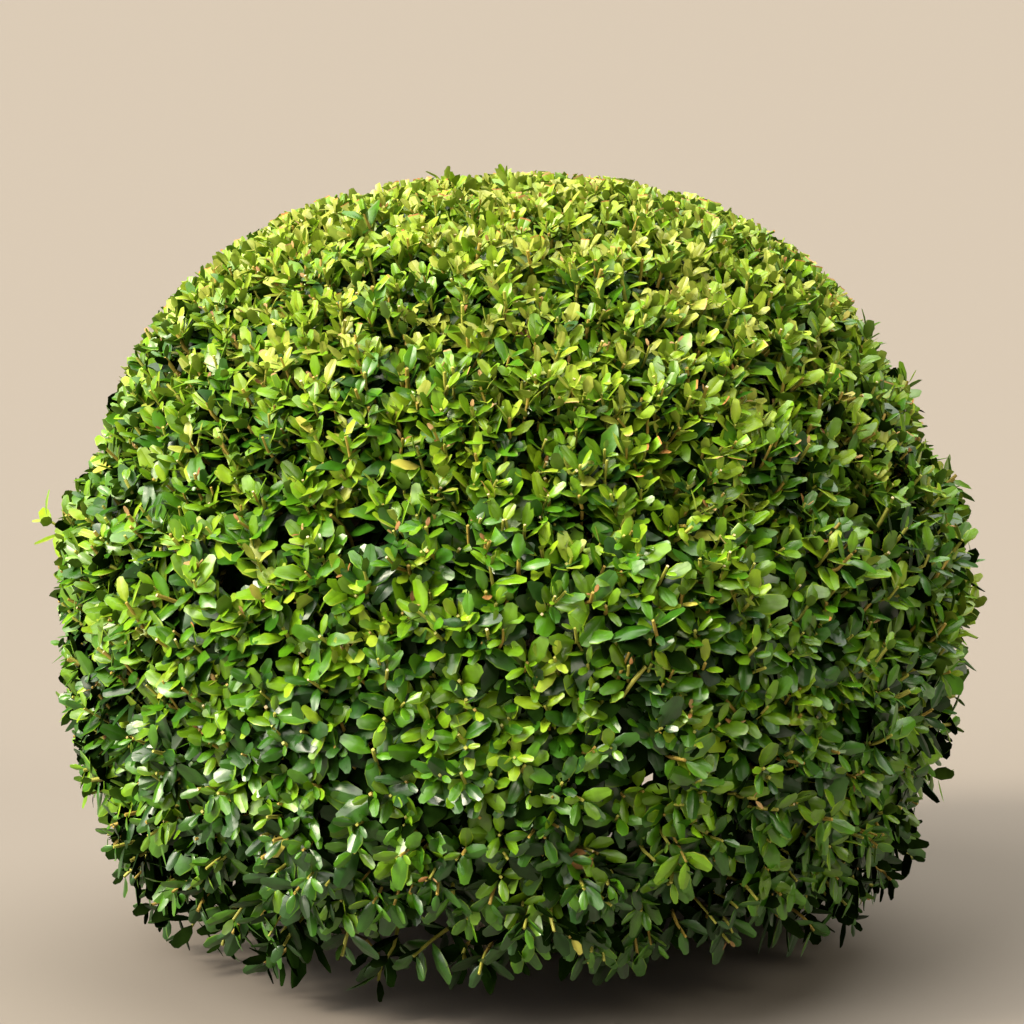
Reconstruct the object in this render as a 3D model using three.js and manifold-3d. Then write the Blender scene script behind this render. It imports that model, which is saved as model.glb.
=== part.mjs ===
// A clipped box ball, rooted in the ground: a short flared trunk that divides into a leader and two
// rings of boughs, each carrying one cushion of the clipped crown. Millimetres, +Z up, with the origin
// at the middle of the trunk's flat cut at ground level.
import * as THREE from "three";
import { LoftGeometry } from "three/addons/geometries/LoftGeometry.js";
import { mergeVertices } from "three/addons/utils/BufferGeometryUtils.js";
import Module from "manifold-3d";

// The clipped ball: a belly that stands proud of the crown above it, nearly whole down to the ground
const bellyWidth = 510;
const crownWidth = 476;
const plantHeight = 440;
const ballCentreHeight = 208;
const bellyDrop = 250; // how far below its centre the ball would close, were it not cut by the ground
const squareness = 2.42; // 2 is an ellipse, and more is fuller in the corners
const shoulderFrom = 11; // degrees above the centre where the belly steps in to the crown
const shoulderTo = 21;

// Foliage
const seed = 20;
const foliageDepth = 34; // from the clipped surface in to the dense core of a mass
const rimDip = 12; // how much deeper the core lies along the rim of its mass's space
const hollowShare = 0.45; // the crown is bare wood inside this share of its radius
const massGap = 5; // between the cores of neighbouring masses
const leafMargin = 0.4; // a twig or leaf keeps this far inside its own mass's space
const twigCount = 152; // over the whole sphere of directions, ground side included
const twigRadius = 2.6;
const tipBelowSurface = 17;
const leafLength = 50;
const leafWidth = 27;
const leafThickness = 2; // at the keel
const leafStart = 0.6; // a leaf starts this far from the middle of its twig, still well inside it
const leafPairs = 2;
const leafOverhang = 2; // a leaf's tip may stand this far past the clipped surface
const leafHolds = [
  [44, 0, 1],
  [58, 0, 1],
  [72, 0, 1],
  [62, 35, 1],
  [62, -35, 1],
  [58, 0, 0.72],
  [64, 50, 0.72],
  [64, -50, 0.72],
]; // degrees off the twig, degrees round it and share of full size, tried in turn until the leaf fits

// The few shoots that have grown on since the clipping: where they stand and how far their leaf tips reach
// past the clipped surface, at about half the size of the others' leaves
const longShoots = [
  { azimuth: 181, elevation: 9, reach: 16 },
  { azimuth: 184, elevation: -41, reach: 12 },
  { azimuth: -2, elevation: 4, reach: 7 },
  { azimuth: 1, elevation: 28, reach: 9 },
];
const longShootLeafSize = 0.55;
const longShootLeafPairs = 1;

// Wood
const trunkHeight = 72;
const trunkFootRadius = 22;
const trunkTopRadius = 14;
const flareReach = 6;
const rootLobes = 5;
const leaderRootRadius = 11;
const leaderTipRadius = 5.5;
const boughRootRadius = 6.8;
const boughTipRadius = 4.4;
const boughEndInset = 20; // a bough ends this far inside the hollow's rim, where the stem takes over
const clearance = 0.3;

// The two rings of masses: the elevation and turn of each mass's middle, the heights that its boughs
// root between, and how steeply a bough leaves its parent (its share of the way up for its share out)
const upperRing = { count: 6, elevation: 26, turn: 12, rootFrom: 100, rootTo: 155, outFirst: 0.34, upFirst: 0.17 };
const lowerRing = { count: 6, elevation: -27, turn: -18, rootFrom: 24, rootTo: 42, outFirst: 0.27, upFirst: 0.27 };

const up = new THREE.Vector3(0, 0, 1);
const ballCentre = new THREE.Vector3(0, 0, ballCentreHeight);
const crownRise = plantHeight - ballCentreHeight;
const hollowRadius = (hollowShare * bellyWidth) / 2;

const wasm = await Module();
wasm.setup();

const leafGreen = new THREE.MeshStandardMaterial({ color: 0x4f7320, roughness: 0.42, metalness: 0 });
const youngLeafGreen = new THREE.MeshStandardMaterial({ color: 0x7d9a2c, roughness: 0.45, metalness: 0 });
const trunkBark = new THREE.MeshStandardMaterial({ color: 0x8b7a5e, roughness: 0.9, metalness: 0 });
const boughBark = new THREE.MeshStandardMaterial({ color: 0x9a8660, roughness: 0.85, metalness: 0 });

// A stream of numbers from 0 to 1 that is the same on every run
function seededStream(start) {
  let state = start >>> 0;
  return () => {
    state = (state + 0x6d2b79f5) >>> 0;
    let mixed = Math.imul(state ^ (state >>> 15), state | 1);
    mixed = (mixed + Math.imul(mixed ^ (mixed >>> 7), mixed | 61)) ^ mixed;
    return ((mixed ^ (mixed >>> 14)) >>> 0) / 4294967296;
  };
}

function smoothStep(from, to, value) {
  const share = Math.min(1, Math.max(0, (value - from) / (to - from)));
  return share * share * (3 - 2 * share);
}

function directionAt(azimuthDegrees, elevationDegrees) {
  const azimuth = THREE.MathUtils.degToRad(azimuthDegrees);
  const elevation = THREE.MathUtils.degToRad(elevationDegrees);
  return new THREE.Vector3(
    Math.cos(elevation) * Math.cos(azimuth),
    Math.cos(elevation) * Math.sin(azimuth),
    Math.sin(elevation),
  );
}

// How far the clipped surface lies from the ball's centre along a direction
function surfaceRadius(direction) {
  const azimuth = Math.atan2(direction.y, direction.x);
  const elevation = Math.asin(THREE.MathUtils.clamp(direction.z, -1, 1));
  const shoulder = smoothStep(shoulderFrom, shoulderTo, THREE.MathUtils.radToDeg(elevation));
  const across = THREE.MathUtils.lerp(bellyWidth, crownWidth, shoulder) / 2;
  const upright = direction.z > 0 ? crownRise : bellyDrop;
  const level = Math.hypot(direction.x, direction.y) / across;
  const steep = Math.abs(direction.z) / upright;
  const even = (level ** squareness + steep ** squareness) ** (-1 / squareness);
  const broadSwell = 0.011 * Math.sin(2 * azimuth + 0.6) * Math.cos(elevation);
  const smallSwell = 0.008 * Math.sin(5 * azimuth + 4 * elevation + 1.1) * Math.cos(elevation) ** 2;
  return even * (1 + broadSwell + smallSwell);
}

function surfacePoint(direction, below = 0) {
  return ballCentre.clone().addScaledVector(direction, surfaceRadius(direction) - below);
}

// A three.js geometry as a closed solid
function solidFrom(geometry) {
  const bare = new THREE.BufferGeometry();
  bare.setAttribute("position", geometry.getAttribute("position"));
  bare.setIndex(geometry.getIndex());
  const merged = mergeVertices(bare, 1e-4);
  return new wasm.Manifold(
    new wasm.Mesh({
      numProp: 3,
      vertProperties: new Float32Array(merged.attributes.position.array),
      triVerts: new Uint32Array(merged.index.array),
    }),
  );
}

function meshFrom(solid, name, material) {
  const { vertProperties, triVerts } = solid.getMesh();
  const geometry = new THREE.BufferGeometry();
  geometry.setAttribute("position", new THREE.BufferAttribute(vertProperties, 3));
  geometry.setIndex(new THREE.BufferAttribute(triVerts, 1));
  geometry.computeVertexNormals();
  const mesh = new THREE.Mesh(geometry, material);
  mesh.name = name;
  return mesh;
}

// A limb along a curve, with its radius at each share of the way and round the section
function limbSolid(curve, radiusAt, sides, steps) {
  const frames = curve.computeFrenetFrames(steps);
  const sections = [];
  for (let i = 0; i <= steps; i++) {
    const share = i / steps;
    const middle = curve.getPointAt(share);
    const ring = [];
    for (let j = 0; j < sides; j++) {
      const angle = (j / sides) * 2 * Math.PI;
      const radius = radiusAt(share, angle);
      ring.push(
        middle
          .clone()
          .addScaledVector(frames.normals[i], radius * Math.cos(angle))
          .addScaledVector(frames.binormals[i], radius * Math.sin(angle)),
      );
    }
    sections.push(ring);
  }
  return solidFrom(new LoftGeometry(sections, { capStart: true, capEnd: true }));
}

// Trunk: leans a little, flares in lobes where the roots leave it, and is cut flat at the ground
const trunkCurve = new THREE.CatmullRomCurve3([
  new THREE.Vector3(0, 0, 0),
  new THREE.Vector3(0, 0, 0.3 * trunkHeight),
  new THREE.Vector3(1.5, -1, 0.65 * trunkHeight),
  new THREE.Vector3(4, -2, trunkHeight),
]);

function trunkRadius(share, angle) {
  const flare = (1 - share) ** 3;
  const taper = THREE.MathUtils.lerp(trunkFootRadius, trunkTopRadius, share ** 0.6);
  return taper + flare * flareReach * (0.4 + 0.6 * Math.cos(rootLobes * angle + 0.8));
}

function trunkSolid(grown = 0) {
  return limbSolid(trunkCurve, (share, angle) => trunkRadius(share, angle) + grown, 20, 5);
}

// Leader: goes on from the trunk's top to the mass at the crown
const trunkTop = trunkCurve.getPointAt(1);
const trunkTopDirection = trunkCurve.getTangentAt(1);
const leaderEnd = ballCentre.clone().addScaledVector(up, hollowRadius - boughEndInset);
const leaderCurve = new THREE.CatmullRomCurve3([
  trunkTop.clone().addScaledVector(trunkTopDirection, clearance),
  trunkTop.clone().addScaledVector(trunkTopDirection, 24),
  new THREE.Vector3(-3, 4, 0.5 * (trunkHeight + leaderEnd.z)),
  leaderEnd.clone().addScaledVector(up, -26),
  leaderEnd,
]);

function leaderSolid(grown = 0) {
  const radiusAt = (share) => THREE.MathUtils.lerp(leaderRootRadius, leaderTipRadius, share) + grown;
  return limbSolid(leaderCurve, radiusAt, 8, 8);
}

// A parent limb's middle at a given height
function middleAtHeight(curve, height) {
  let low = 0;
  let high = 1;
  for (let i = 0; i < 30; i++) {
    const half = (low + high) / 2;
    if (curve.getPointAt(half).z < height) low = half;
    else high = half;
  }
  return curve.getPointAt(low);
}

// Bough: leaves its parent's middle, rises, and arches out to the rim of the hollow
function boughCurve(parentCurve, rootHeight, axis, ring) {
  const root = middleAtHeight(parentCurve, rootHeight);
  const end = ballCentre.clone().addScaledVector(axis, hollowRadius - boughEndInset);
  const outward = new THREE.Vector3(axis.x, axis.y, 0).normalize();
  const rise = end.z - root.z;
  const reach = Math.hypot(end.x - root.x, end.y - root.y);
  return new THREE.CatmullRomCurve3([
    root,
    root.clone().addScaledVector(outward, ring.outFirst * reach).addScaledVector(up, ring.upFirst * rise),
    root.clone().addScaledVector(outward, 0.55 * reach).addScaledVector(up, 0.62 * rise),
    end.clone().addScaledVector(axis, -13).addScaledVector(up, -4),
    end,
  ]);
}

function boughRadius(share) {
  const collar = 1 + 0.22 * (1 - share) ** 6;
  return THREE.MathUtils.lerp(boughRootRadius, boughTipRadius, share) * collar;
}

function boughSolid(curve, grownParent) {
  return limbSolid(curve, boughRadius, 6, 5).subtract(grownParent);
}

// A mass's space holds the directions that lie nearer its own axis than any other's
function keepsToSpace(point, axis, otherAxes) {
  const reach = point.clone().sub(ballCentre);
  return otherAxes.every((other) => {
    const wall = axis.clone().sub(other).normalize();
    return reach.dot(wall) > leafMargin;
  });
}

// Core of a mass: the dense layer of its space, a little rounded over at the rim
function coreSolid(axis, otherAxes) {
  const outer = new THREE.IcosahedronGeometry(1, 4);
  const positions = outer.getAttribute("position");
  const direction = new THREE.Vector3();
  for (let i = 0; i < positions.count; i++) {
    direction.fromBufferAttribute(positions, i).normalize();
    const nearest = Math.min(...otherAxes.map((other) => direction.angleTo(other)));
    const insideRim = smoothStep(0, 0.5, nearest - direction.angleTo(axis));
    const radius = surfaceRadius(direction) - foliageDepth - rimDip * (1 - insideRim);
    direction.multiplyScalar(radius).add(ballCentre);
    positions.setXYZ(i, direction.x, direction.y, direction.z);
  }
  const hollow = new THREE.IcosahedronGeometry(hollowRadius, 1).translate(...ballCentre.toArray());
  let core = solidFrom(outer).subtract(solidFrom(hollow));
  for (const other of otherAxes) {
    const wall = axis.clone().sub(other).normalize();
    core = core.trimByPlane(wall.toArray(), wall.dot(ballCentre) + massGap / 2);
  }
  return core;
}

// Stem of a mass: takes over from its bough and ends in the heart of the core
function stemSolid(curve, radius, heart) {
  const end = curve.getPointAt(1);
  const direction = curve.getTangentAt(1);
  const stemCurve = new THREE.CatmullRomCurve3([
    end.clone().addScaledVector(direction, clearance),
    end.clone().addScaledVector(direction, 12),
    heart,
  ]);
  return limbSolid(stemCurve, (share) => radius * (1 - 0.3 * share), 6, 2);
}

// Twigs: every tip lies a little below the clipped surface, spread evenly over it with a seeded shift
function twigTips() {
  const random = seededStream(seed);
  const goldenTurn = Math.PI * (3 - Math.sqrt(5));
  const tips = [];
  for (let i = 0; i < twigCount; i++) {
    const z = 1 - (2 * i + 1) / twigCount;
    const level = Math.sqrt(1 - z * z);
    const direction = new THREE.Vector3(level * Math.cos(i * goldenTurn), level * Math.sin(i * goldenTurn), z);
    direction.x += 0.05 * (random() - 0.5);
    direction.y += 0.05 * (random() - 0.5);
    direction.z += 0.05 * (random() - 0.5);
    direction.normalize();
    const turn = random() * Math.PI;
    const end = surfacePoint(direction, tipBelowSurface + 8 * (random() - 0.5));
    if (end.z > tipBelowSurface * 0.8) {
      tips.push({ direction, end, turn, pairs: leafPairs, leafSize: 1, reach: leafOverhang });
    }
  }
  return tips;
}

function longShootTips() {
  return longShoots.map(({ azimuth, elevation, reach }) => {
    const direction = directionAt(azimuth, elevation);
    const end = surfacePoint(direction, 0.3 * longShootLeafSize * leafLength - reach);
    return { direction, end, turn: 0.5, pairs: longShootLeafPairs, leafSize: longShootLeafSize, reach };
  });
}

// Shoots lean up towards the light, and those round the foot lean out and a little down
function shootLean(direction) {
  const low = smoothStep(-0.1, -0.75, direction.z);
  return direction
    .clone()
    .addScaledVector(up, THREE.MathUtils.lerp(0.55, -0.05, low))
    .normalize();
}

function twigCurve(heart, tip) {
  const lean = shootLean(tip.direction);
  return new THREE.QuadraticBezierCurve3(
    heart,
    tip.end.clone().addScaledVector(lean, -1.3 * foliageDepth),
    tip.end,
  );
}

// A leaf as a thin closed solid along +X: a blunt blade that droops at its tip, its face towards +Z,
// over one keel for its midrib
function leafGeometry(length, width) {
  const tipX = 0.96 * length;
  const tipZ = -0.06 * length;
  const points = [
    [leafStart, 0, 0],
    [0.56 * length, -0.5 * width, 0],
    [tipX, -0.2 * width, tipZ],
    [tipX, 0.2 * width, tipZ],
    [0.56 * length, 0.5 * width, 0],
    [0.5 * length, 0, -leafThickness],
  ];
  const faces = [0, 1, 4, 1, 2, 3, 1, 3, 4];
  for (let i = 0; i < 5; i++) faces.push((i + 1) % 5, i, 5);
  const geometry = new THREE.BufferGeometry();
  geometry.setAttribute("position", new THREE.Float32BufferAttribute(points.flat(), 3));
  geometry.setIndex(faces);
  return geometry;
}

// Sets a leaf on its twig, standing off it by an angle, with its face towards the twig's tip
function leafPlacement(root, along, sideways, standOff) {
  const run = along.clone().multiplyScalar(Math.cos(standOff)).addScaledVector(sideways, Math.sin(standOff));
  const face = along.clone().multiplyScalar(Math.sin(standOff)).addScaledVector(sideways, -Math.cos(standOff));
  const breadth = face.clone().cross(run);
  return new THREE.Matrix4().makeBasis(run, breadth, face).setPosition(root);
}

function fitsSpace(geometry, axis, otherAxes, overhang) {
  const positions = geometry.getAttribute("position");
  const point = new THREE.Vector3();
  for (let i = 0; i < positions.count; i++) {
    point.fromBufferAttribute(positions, i);
    if (point.z < 1 || !keepsToSpace(point, axis, otherAxes)) return false;
    const reach = point.sub(ballCentre);
    const distance = reach.length();
    if (distance > surfaceRadius(reach.divideScalar(distance)) + overhang) return false;
  }
  return true;
}

// The first of a few ways to hold a leaf that stays within its mass's space and the clipped surface
function fittedLeaf(root, along, sideways, axis, otherAxes, tip) {
  for (const [standOff, swing, share] of leafHolds) {
    const size = share * tip.leafSize;
    const geometry = leafGeometry(leafLength * size, leafWidth * size);
    const across = sideways.clone().applyAxisAngle(along, THREE.MathUtils.degToRad(swing));
    geometry.applyMatrix4(leafPlacement(root, along, across, THREE.MathUtils.degToRad(standOff)));
    if (fitsSpace(geometry, axis, otherAxes, tip.reach)) return solidFrom(geometry);
  }
  return null;
}

// One twig with its opposite pairs of leaves, each pair turned a quarter from the one before
function twigSolids(tip, heart, axis, otherAxes) {
  const curve = twigCurve(heart, tip);
  const along = curve.getTangentAt(1);
  const stalkCurve = new THREE.LineCurve3(curve.getPointAt(0.5), tip.end);
  const stalk = limbSolid(stalkCurve, (share) => twigRadius * (1.3 - 0.5 * share), 3, 1);
  const sideways = up.clone().cross(along).normalize();
  const leaves = [];
  for (let pair = 0; pair < tip.pairs; pair++) {
    const place = stalkCurve.getPointAt(0.9 - 0.26 * pair);
    for (const half of [0, 1]) {
      const across = sideways.clone().applyAxisAngle(along, tip.turn + (pair / 2 + half) * Math.PI);
      const leaf = fittedLeaf(place, along, across, axis, otherAxes, tip);
      if (leaf) leaves.push(leaf);
    }
  }
  return leaves.length ? [stalk, ...leaves] : [];
}

const root = new THREE.Group();
root.add(meshFrom(trunkSolid(), "trunk", trunkBark));
root.add(meshFrom(leaderSolid(), "leader", boughBark));

const massPlans = [{ name: "crown", axis: up.clone(), curve: leaderCurve, stemRadius: leaderTipRadius }];
const rings = [
  { prefix: "upper", ring: upperRing, parentCurve: leaderCurve, grownParent: leaderSolid(clearance) },
  { prefix: "lower", ring: lowerRing, parentCurve: trunkCurve, grownParent: trunkSolid(clearance) },
];
for (const { prefix, ring, parentCurve, grownParent } of rings) {
  for (let i = 0; i < ring.count; i++) {
    const axis = directionAt(ring.turn + (i * 360) / ring.count, ring.elevation);
    const step = ((i % 2) * (ring.count / 2) + Math.floor(i / 2)) / (ring.count - 1);
    const rootHeight = THREE.MathUtils.lerp(ring.rootFrom, ring.rootTo, step);
    const curve = boughCurve(parentCurve, rootHeight, axis, ring);
    const number = i + 1;
    root.add(meshFrom(boughSolid(curve, grownParent), `${prefix}_bough_${number}`, boughBark));
    massPlans.push({ name: `${prefix}_${number}`, axis, curve, stemRadius: boughTipRadius });
  }
}

const allAxes = [...massPlans.map((plan) => plan.axis), up.clone().negate()];
const tips = [...twigTips(), ...longShootTips()];
for (const { name, axis, curve, stemRadius } of massPlans) {
  const otherAxes = allAxes.filter((other) => other !== axis && other.angleTo(axis) > 1e-6);
  const heart = ballCentre.clone().addScaledVector(axis, 1.28 * hollowRadius);
  const solids = [coreSolid(axis, otherAxes), stemSolid(curve, stemRadius, heart)];
  for (const tip of tips) {
    if (keepsToSpace(tip.end, axis, otherAxes)) solids.push(...twigSolids(tip, heart, axis, otherAxes));
  }
  const green = name === "crown" || name.startsWith("upper") ? youngLeafGreen : leafGreen;
  root.add(meshFrom(wasm.Manifold.union(solids), `foliage_${name}`, green));
}

export default root;
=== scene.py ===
# A clipped box ball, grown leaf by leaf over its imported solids
import math
import bpy
import numpy as np
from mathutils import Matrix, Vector, noise


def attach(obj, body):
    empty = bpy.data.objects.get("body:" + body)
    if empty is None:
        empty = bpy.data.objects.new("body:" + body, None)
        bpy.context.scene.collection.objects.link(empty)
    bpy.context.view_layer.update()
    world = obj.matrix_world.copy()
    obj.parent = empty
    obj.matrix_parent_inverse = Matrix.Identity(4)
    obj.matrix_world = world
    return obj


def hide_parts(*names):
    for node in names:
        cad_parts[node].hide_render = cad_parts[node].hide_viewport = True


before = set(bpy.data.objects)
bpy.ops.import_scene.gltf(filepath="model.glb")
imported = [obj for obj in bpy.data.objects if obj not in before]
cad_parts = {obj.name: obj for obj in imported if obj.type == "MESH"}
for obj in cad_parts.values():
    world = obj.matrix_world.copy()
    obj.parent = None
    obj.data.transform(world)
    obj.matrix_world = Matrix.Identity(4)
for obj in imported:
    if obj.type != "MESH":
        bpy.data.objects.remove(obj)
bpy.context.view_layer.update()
print("frame loaded")

# The ball as the shears leave it, in metres
ball = {
    "bellyWidth": 0.510,
    "crownWidth": 0.476,
    "height": 0.440,
    "centreHeight": 0.208,
    "bellyDrop": 0.250,        # how far below its centre it would close, were it not cut by the ground
    "squareness": 2.42,
    "shoulderFrom": 11,        # degrees above the centre where the belly steps in to the crown
    "shoulderTo": 21,
    "hollowShare": 0.45,       # inside this share of the belly's radius there is only wood
    # how far the shears strayed: share of the radius, waves round and up the ball, start, fading to the top
    "swells": ((0.011, 2, 0, 0.6, 1), (0.008, 5, 4, 1.1, 2)),
}
# the two rings of masses and their boughs: the heights where a bough leaves its parent, and how far outwards
# and upwards it has gone at its first bend
upperRing = {"count": 6, "elevation": 26, "turn": 12, "rootFrom": 0.100, "rootTo": 0.155,
             "outFirst": 0.34, "upFirst": 0.17}
lowerRing = {"count": 6, "elevation": -27, "turn": -18, "rootFrom": 0.024, "rootTo": 0.042,
             "outFirst": 0.27, "upFirst": 0.27}

up = np.array((0.0, 0.0, 1.0))
centre = np.array((0.0, 0.0, ball["centreHeight"]))
hollowRadius = ball["hollowShare"] * ball["bellyWidth"] / 2


# the stream of numbers from 0 to 1 that the solids' twigs were drawn with
def seededStream(start):
    state = start
    while True:
        state = (state + 0x6D2B79F5) & 0xFFFFFFFF
        mixed = ((state ^ (state >> 15)) * (state | 1)) & 0xFFFFFFFF
        mixed = ((mixed + ((mixed ^ (mixed >> 7)) * (mixed | 61))) & 0xFFFFFFFF) ^ mixed
        yield (mixed ^ (mixed >> 14)) / 4294967296


def smoothStep(start, end, value):
    share = np.clip((value - start) / (end - start), 0, 1)
    return share * share * (3 - 2 * share)


def mix(a, b, share):
    return a + (b - a) * share


def unit(vectors):
    return vectors / np.linalg.norm(vectors, axis=-1, keepdims=True)


def rowDot(a, b):
    return np.sum(a * b, axis=-1, keepdims=True)


# how far the clipped surface lies from the ball's centre along each direction
def surfaceRadius(directions):
    x, y, z = directions[..., 0], directions[..., 1], np.clip(directions[..., 2], -1, 1)
    azimuth, elevation = np.arctan2(y, x), np.arcsin(z)
    shoulder = smoothStep(ball["shoulderFrom"], ball["shoulderTo"], np.degrees(elevation))
    across = mix(ball["bellyWidth"], ball["crownWidth"], shoulder) / 2
    upright = np.where(z > 0, ball["height"] - ball["centreHeight"], ball["bellyDrop"])
    power = ball["squareness"]
    even = ((np.hypot(x, y) / across) ** power + (np.abs(z) / upright) ** power) ** (-1 / power)
    uneven = 1
    for depth, around, upward, start, fade in ball["swells"]:
        wave = np.sin(around * azimuth + upward * elevation + start)
        uneven = uneven + depth * wave * np.cos(elevation) ** fade
    return even * uneven


def surfacePoint(directions, below):
    return centre + directions * (surfaceRadius(directions) - below)[..., None]


def directionAt(azimuth, elevation):
    azimuth, elevation = math.radians(azimuth), math.radians(elevation)
    return np.array((math.cos(elevation) * math.cos(azimuth), math.cos(elevation) * math.sin(azimuth),
                     math.sin(elevation)))


# directions spread evenly over a sphere, each a golden angle on from the one before
def evenDirections(count):
    index = np.arange(count)
    z = 1 - (2 * index + 1) / count
    level, turn = np.sqrt(1 - z * z), index * math.pi * (3 - math.sqrt(5))
    return np.stack((level * np.cos(turn), level * np.sin(turn), z), axis=1)


def ringAxis(ring, place):
    return directionAt(ring["turn"] + place * 360 / ring["count"], ring["elevation"])


# the masses of the crown: one at the top and two rings of six
massNames, massAxes = ["crown"], [up]
for prefix, ring in (("upper", upperRing), ("lower", lowerRing)):
    for i in range(ring["count"]):
        massNames.append(f"{prefix}_{i + 1}")
        massAxes.append(ringAxis(ring, i))
massAxes = np.array(massAxes)


# Materials. A hex colour is sRGB and is turned to linear here
def fromHex(text):
    channels = [int(text[i:i + 2], 16) / 255 for i in (1, 3, 5)]
    return [c / 12.92 if c <= 0.04045 else ((c + 0.055) / 1.055) ** 2.4 for c in channels] + [1.0]


def addNode(material, kind, settings=None, inputs=None, links=None):
    tree = material.node_tree
    node = tree.nodes.new(kind)
    for key, value in (settings or {}).items():
        setattr(node, key, value)
    for key, value in (inputs or {}).items():
        node.inputs[key].default_value = value
    for key, source in (links or {}).items():
        tree.links.new(source, node.inputs[key])
    return node


def plainMaterial(name, colour, roughness, **inputs):
    material = bpy.data.materials.new(name)
    material.use_nodes = True
    shader = material.node_tree.nodes["Principled BSDF"]
    shader.inputs["Base Color"].default_value = fromHex(colour)
    shader.inputs["Roughness"].default_value = roughness
    for key, value in inputs.items():
        shader.inputs[key.replace("_", " ")].default_value = value
    return material


# Living box leaves: a thick waxy skin above, a little uneven, so each catches a small crisp highlight, and a
# paler, duller skin below. Darkest first, from the leaves deep inside to the young growth at the top. The
# darkest two are old leaves made darker still as painted shade, for the shade deep inside the crown.
# Each has its name, colour, roughness and how strongly its wax shines
leafShades = [
    ("innerLeafPaintedShade", "#122307", 0.8, 0.0),
    ("oldLeafAndPaintedShade", "#163008", 0.45, 0.3),
    ("oldLeafBluish", "#234a15", 0.34, 0.65),
    ("oldLeafDeep", "#2d5c0a", 0.33, 0.6),
    ("leafMid", "#46790a", 0.33, 0.62),
    ("leafOlive", "#58800c", 0.34, 0.6),
    ("leafBright", "#6e9a14", 0.34, 0.55),
    ("youngLeaf", "#84a51c", 0.36, 0.45),
    ("youngLeafLime", "#94ad2c", 0.38, 0.45),
    ("youngLeafYellow", "#9ca640", 0.38, 0.45),
]
leafUndersides = [
    # the dark underside is painted shade, which the darkest four shades get; a real underside is paler
    ("leafUndersidePaintedShade", "#18270a", 0.7, 0.0),
    ("leafUndersideMid", "#5a7a24", 0.5, 0.5),
    ("leafUndersidePale", "#90a63a", 0.52, 0.5),
]
undersideOf = [0, 0, 0, 0, 1, 1, 1, 2, 2, 2, 2]    # for each shade, and last for an odd leaf
oddLeaves = [
    ("yellowedLeaf", "#beb84e", 0.45, 0.5),
    ("brownedLeaf", "#8d6434", 0.6, 0.4),
    ("shearedEdgeTan", "#b3925e", 0.7, 0.3),      # the dry rim that the shears leave on a cut leaf
    ("shearedEdgeRusty", "#a8743a", 0.7, 0.3),
]
leafSkin = {
    "waveWidth": 0.005,        # shallow waves, so that a highlight breaks up
    "waveDepth": 0.0005,
    "waveStrength": 0.45,
    "tintWidth": 0.009,        # patches a little darker and paler than the leaf's own colour
    "tintRange": 0.22,
    "tintEnds": (0.33, 0.67),
}


def leafMaterial(name, colour, roughness, wax):
    material = plainMaterial(name, colour, roughness, Specular_IOR_Level=wax)
    shader = material.node_tree.nodes["Principled BSDF"]
    place = addNode(material, "ShaderNodeTexCoord").outputs["Object"]
    waves = addNode(material, "ShaderNodeTexNoise", links={"Vector": place},
                    inputs={"Scale": 1 / leafSkin["waveWidth"], "Detail": 1.0})
    relief = addNode(material, "ShaderNodeBump", links={"Height": waves.outputs["Fac"]},
                     inputs={"Strength": leafSkin["waveStrength"], "Distance": leafSkin["waveDepth"]})
    patches = addNode(material, "ShaderNodeTexNoise", links={"Vector": place},
                      inputs={"Scale": 1 / leafSkin["tintWidth"], "Detail": 2.0})
    tint = addNode(material, "ShaderNodeValToRGB", links={"Fac": patches.outputs["Fac"]})
    for element, position, gain in zip(tint.color_ramp.elements, leafSkin["tintEnds"], (-1, 1)):
        element.position = position
        element.color = [c * (1 + gain * leafSkin["tintRange"]) for c in fromHex(colour)[:3]] + [1.0]
    material.node_tree.links.new(tint.outputs["Color"], shader.inputs["Base Color"])
    material.node_tree.links.new(relief.outputs["Normal"], shader.inputs["Normal"])
    return material


leafMaterials = [leafMaterial(*skin) for skin in leafShades + leafUndersides + oddLeaves]
yellowIndex = len(leafShades) + len(leafUndersides)
brownIndex, tanIndex, rustyIndex = yellowIndex + 1, yellowIndex + 2, yellowIndex + 3

# Box shoots: yellow-green and four-angled when young, then straw-brown, then in thin grey-brown bark
twigMaterials = [
    plainMaterial("youngShoot", "#abab48", 0.5),
    plainMaterial("ripenedShoot", "#ae9642", 0.6),
    plainMaterial("twigBark", "#64563f", 0.85),
    plainMaterial("cutShootEnd", "#d9c79a", 0.75),
]
youngWood, ripeWood, barkWood, paleEnd = range(len(twigMaterials))


# Old box bark: pale grey-buff cork in small dry flakes longer than wide, with thin dark fissures between
barkSkin = {
    "flakeWidth": 0.0024,
    "flakeLength": 0.008,
    "raggedness": 0.0035,      # how far the flakes' edges wander
    "fissureWidth": 0.14,      # share of a flake's width
    "fissureDepth": 0.0008,
    "fissureStrength": 0.7,
    "fissureColour": "#5c503f",
    "toneScale": 140.0,        # patches of tone about 7 mm wide
    "tones": ((0.3, "#766a55"), (0.7, "#a89a80")),
    "roughness": 0.9,
}


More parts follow.
